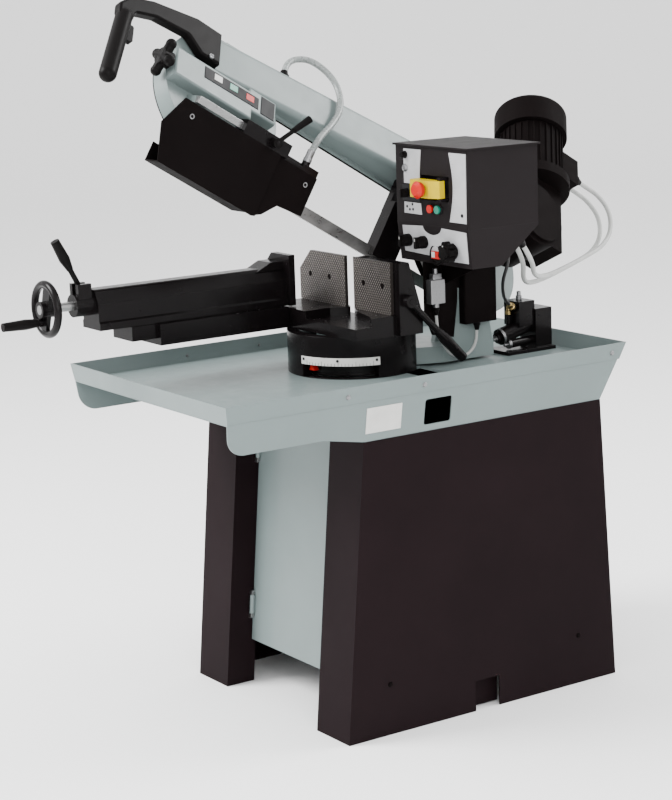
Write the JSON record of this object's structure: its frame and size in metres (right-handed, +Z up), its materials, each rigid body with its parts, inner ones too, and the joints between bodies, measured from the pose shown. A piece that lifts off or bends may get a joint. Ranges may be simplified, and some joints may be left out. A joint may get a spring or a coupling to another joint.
{
  "type": "metal cutting band saw",
  "caption": "Free-standing metal cutting band saw with a pivoting saw arm on a mitre turret, screw vise, chip tray, control box and sheet-metal cabinet stand.",
  "frame": {"origin": "on the floor, at the middle of the stand's four floor-bolt holes", "axes": "+X to the operator's right, -Y towards the operator, +Z up; the saw arm is stored raised and square to the vise"},
  "size_m": [0.6892, 1.5818, 1.6018],
  "materials": {
    "dark_stand": "satin powder coat",
    "grey_paint": "satin paint",
    "black_casting": "satin paint",
    "control_case": "fine textured paint",
    "bright_steel": "turned and ground",
    "blade_steel": "rolled band",
    "jaw_steel": "serrated, oiled",
    "wheel_iron": "turned rim",
    "black_plastic": "moulded",
    "grey_alloy": "die cast",
    "scale_white": "printed strip",
    "stop_yellow": "moulded",
    "signal_red": "moulded",
    "signal_green": "moulded",
    "clear_hose": "soft tube",
    "grey_cable": "sheathed",
    "black_hose": "smooth"
  },
  "bodies": {
    "stand": {"side_panel_right": "dark_stand", "side_panel_left": "dark_stand", "back_panel": "dark_stand", "door_hinge_pins": "bright_steel", "base_box": "grey_paint", "chip_tray": "grey_paint", "case_screws": "bright_steel", "table_casting": "black_casting", "degree_scale": "scale_white", "fixed_jaw_left": "jaw_steel", "fixed_jaw_right": "jaw_steel", "jaw_bolts": "bright_steel", "vise_bed": "black_casting", "hydraulic_unit": "black_casting", "hydraulic_hose": "black_hose"},
    "door": {"cabinet_door": "grey_paint"},
    "vise": {"vise_slide": "black_casting"},
    "vise_spindle": {"vise_screw": "bright_steel", "vise_handwheel": "black_plastic"},
    "vise_crank": {"crank_grip": "black_plastic"},
    "vise_quick_lever": {"vise_lever": "black_plastic"},
    "mitre_lock": {"lock_lever": "black_plastic"},
    "turret": {"turret_casting": "grey_paint", "arm_pivot_pin": "bright_steel", "control_box_lower": "control_case", "control_box_upper": "control_case", "box_bracket": "black_casting", "limit_switch": "grey_alloy", "motor_cable": "grey_cable", "sensor_cable": "grey_cable", "switch_cable": "grey_cable"},
    "stop_cover": {"stop_lid": "stop_yellow"},
    "stop_button": {"stop_mushroom": "signal_red"},
    "red_push": {"red_button": "signal_red"},
    "green_push": {"green_button": "signal_green"},
    "selector": {"selector_knob": "black_plastic"},
    "left_knob": {"left_dial": "black_plastic"},
    "mid_knob": {"mid_dial": "black_plastic"},
    "flow_valve": {"flow_knob": "black_plastic"},
    "rocker": {"rocker_switch": "black_plastic"},
    "arm": {"bow_casting": "grey_paint", "rear_cover": "black_casting", "handle": "black_casting", "gearbox_housing": "black_casting", "motor_body": "black_casting", "fan_cover": "black_casting", "saw_blade": "blade_steel", "rear_guide": "black_casting", "guide_bar": "bright_steel", "coolant_hose": "clear_hose"},
    "drive": {"drive_wheel": "wheel_iron", "drive_shaft": "bright_steel"},
    "rotor": {"motor_rotor": "bright_steel"},
    "tension": {"tension_slide": "bright_steel"},
    "idler": {"idler_wheel": "wheel_iron"},
    "tension_star": {"tension_knob": "black_plastic"},
    "guide": {"guide_block": "black_casting", "blade_guard": "black_casting"},
    "guide_clamp": {"clamp_lever": "black_plastic"},
    "arm_trigger": {"trigger": "black_plastic"}
  },
  "joints": [
    {"name": "door_swing", "type": "hinge", "parent": "stand", "child": "door", "pos_m": [-0.18, -0.326, 0], "axis": [0, -0.0931, -0.9957], "range_deg": [0, 90]},
    {"name": "vise_travel", "type": "slide", "parent": "stand", "child": "vise", "axis": [0, 1, 0], "range_m": [-0.12, 0.075]},
    {"name": "vise_screw_turn", "type": "hinge", "parent": "vise", "child": "vise_spindle", "pos_m": [-0.15, -0.8, 0.953], "axis": [0, 1, 0], "continuous": true},
    {"name": "crank_grip_spin", "type": "hinge", "parent": "vise_spindle", "child": "vise_crank", "pos_m": [-0.15927, -0.85, 0.92447], "axis": [0, 1, 0], "continuous": true},
    {"name": "vise_lever_throw", "type": "hinge", "parent": "vise", "child": "vise_quick_lever", "pos_m": [-0.15, -0.727, 0.988], "axis": [1, 0, 0], "range_deg": [-25, 20]},
    {"name": "mitre_lock_throw", "type": "hinge", "parent": "stand", "child": "mitre_lock", "pos_m": [0.195, -0.103, 0.927], "axis": [1, 0, 0], "range_deg": [0, 25]},
    {"name": "mitre_swivel", "type": "hinge", "parent": "stand", "child": "turret", "pos_m": [0, -0.121, 0.83], "axis": [0, 0, 1], "range_deg": [0, 60], "deforming": ["hydraulic_hose"]},
    {"name": "stop_cover_lift", "type": "hinge", "parent": "turret", "child": "stop_cover", "pos_m": [0.264, -0.063, 1.173], "axis": [0, 0, 1], "range_deg": [0, 100]},
    {"name": "stop_push", "type": "slide", "parent": "stop_cover", "child": "stop_button", "axis": [0, 1, 0], "range_m": [0, 0.004], "stiffness_N_per_m": 400},
    {"name": "red_press", "type": "slide", "parent": "turret", "child": "red_push", "axis": [0, 1, 0], "range_m": [0, 0.004], "stiffness_N_per_m": 400},
    {"name": "green_press", "type": "slide", "parent": "turret", "child": "green_push", "axis": [0, 1, 0], "range_m": [0, 0.004], "stiffness_N_per_m": 400},
    {"name": "selector_turn", "type": "hinge", "parent": "turret", "child": "selector", "pos_m": [0.131, -0.06, 1.157], "axis": [0, 1, 0], "range_deg": [-45, 45]},
    {"name": "left_dial_turn", "type": "hinge", "parent": "turret", "child": "left_knob", "pos_m": [0.131, -0.06, 1.052], "axis": [0, 1, 0], "range_deg": [-135, 135]},
    {"name": "mid_dial_turn", "type": "hinge", "parent": "turret", "child": "mid_knob", "pos_m": [0.188, -0.06, 1.052], "axis": [0, 1, 0], "range_deg": [-135, 135]},
    {"name": "flow_turn", "type": "hinge", "parent": "turret", "child": "flow_valve", "pos_m": [0.29, -0.06, 1.04], "axis": [0, 1, 0], "range_deg": [-150, 150]},
    {"name": "rocker_tilt", "type": "hinge", "parent": "turret", "child": "rocker", "pos_m": [0.226, -0.04422, 1.027], "axis": [1, 0, 0], "range_deg": [-8, 8]},
    {"name": "arm_pivot", "type": "hinge", "parent": "turret", "child": "arm", "pos_m": [0, 0.14, 0.989], "axis": [1, 0, 0], "range_deg": [0, 31], "deforming": ["motor_cable", "sensor_cable"]},
    {"name": "motor_spin", "type": "hinge", "parent": "arm", "child": "rotor", "pos_m": [0.06177, 0.35397, 1.00921], "axis": [-0.5299, 0.4368, 0.7269], "continuous": true},
    {"name": "drive_wheel_spin", "type": "hinge", "parent": "arm", "child": "drive", "pos_m": [-0.07816, 0.25322, 0.96774], "axis": [0.848, 0.2729, 0.4542], "continuous": true},
    {"name": "tension_knob_turn", "type": "hinge", "parent": "arm", "child": "tension_star", "pos_m": [-0.04721, -0.40198, 1.38399], "axis": [0, -0.8572, 0.515], "continuous": true},
    {"name": "tension_travel", "type": "slide", "parent": "arm", "child": "tension", "axis": [0, -0.8572, 0.515], "range_m": [-0.008, 0]},
    {"name": "idler_wheel_spin", "type": "hinge", "parent": "tension", "child": "idler", "pos_m": [-0.07816, -0.41194, 1.36741], "axis": [0.848, 0.2729, 0.4542], "continuous": true},
    {"name": "guide_travel", "type": "slide", "parent": "arm", "child": "guide", "axis": [0, -0.8572, 0.515], "range_m": [0, 0.06], "deforming": ["coolant_hose"]},
    {"name": "guide_clamp_throw", "type": "hinge", "parent": "guide", "child": "guide_clamp", "pos_m": [0.04, -0.33607, 1.28205], "axis": [1, 0, 0], "range_deg": [0, 50]},
    {"name": "trigger_squeeze", "type": "slide", "parent": "arm", "child": "arm_trigger", "axis": [0, -0.8572, 0.515], "range_m": [0, 0.004], "stiffness_N_per_m": 500}
  ],
  "couplings": [
    {"joint": "vise_screw_turn", "follows": "vise_travel", "rad_per_m": 1047.2},
    {"joint": "drive_wheel_spin", "follows": "motor_spin", "ratio": 0.05},
    {"joint": "idler_wheel_spin", "follows": "motor_spin", "ratio": 0.05},
    {"joint": "tension_knob_turn", "follows": "tension_travel", "rad_per_m": 3141.6}
  ]
}
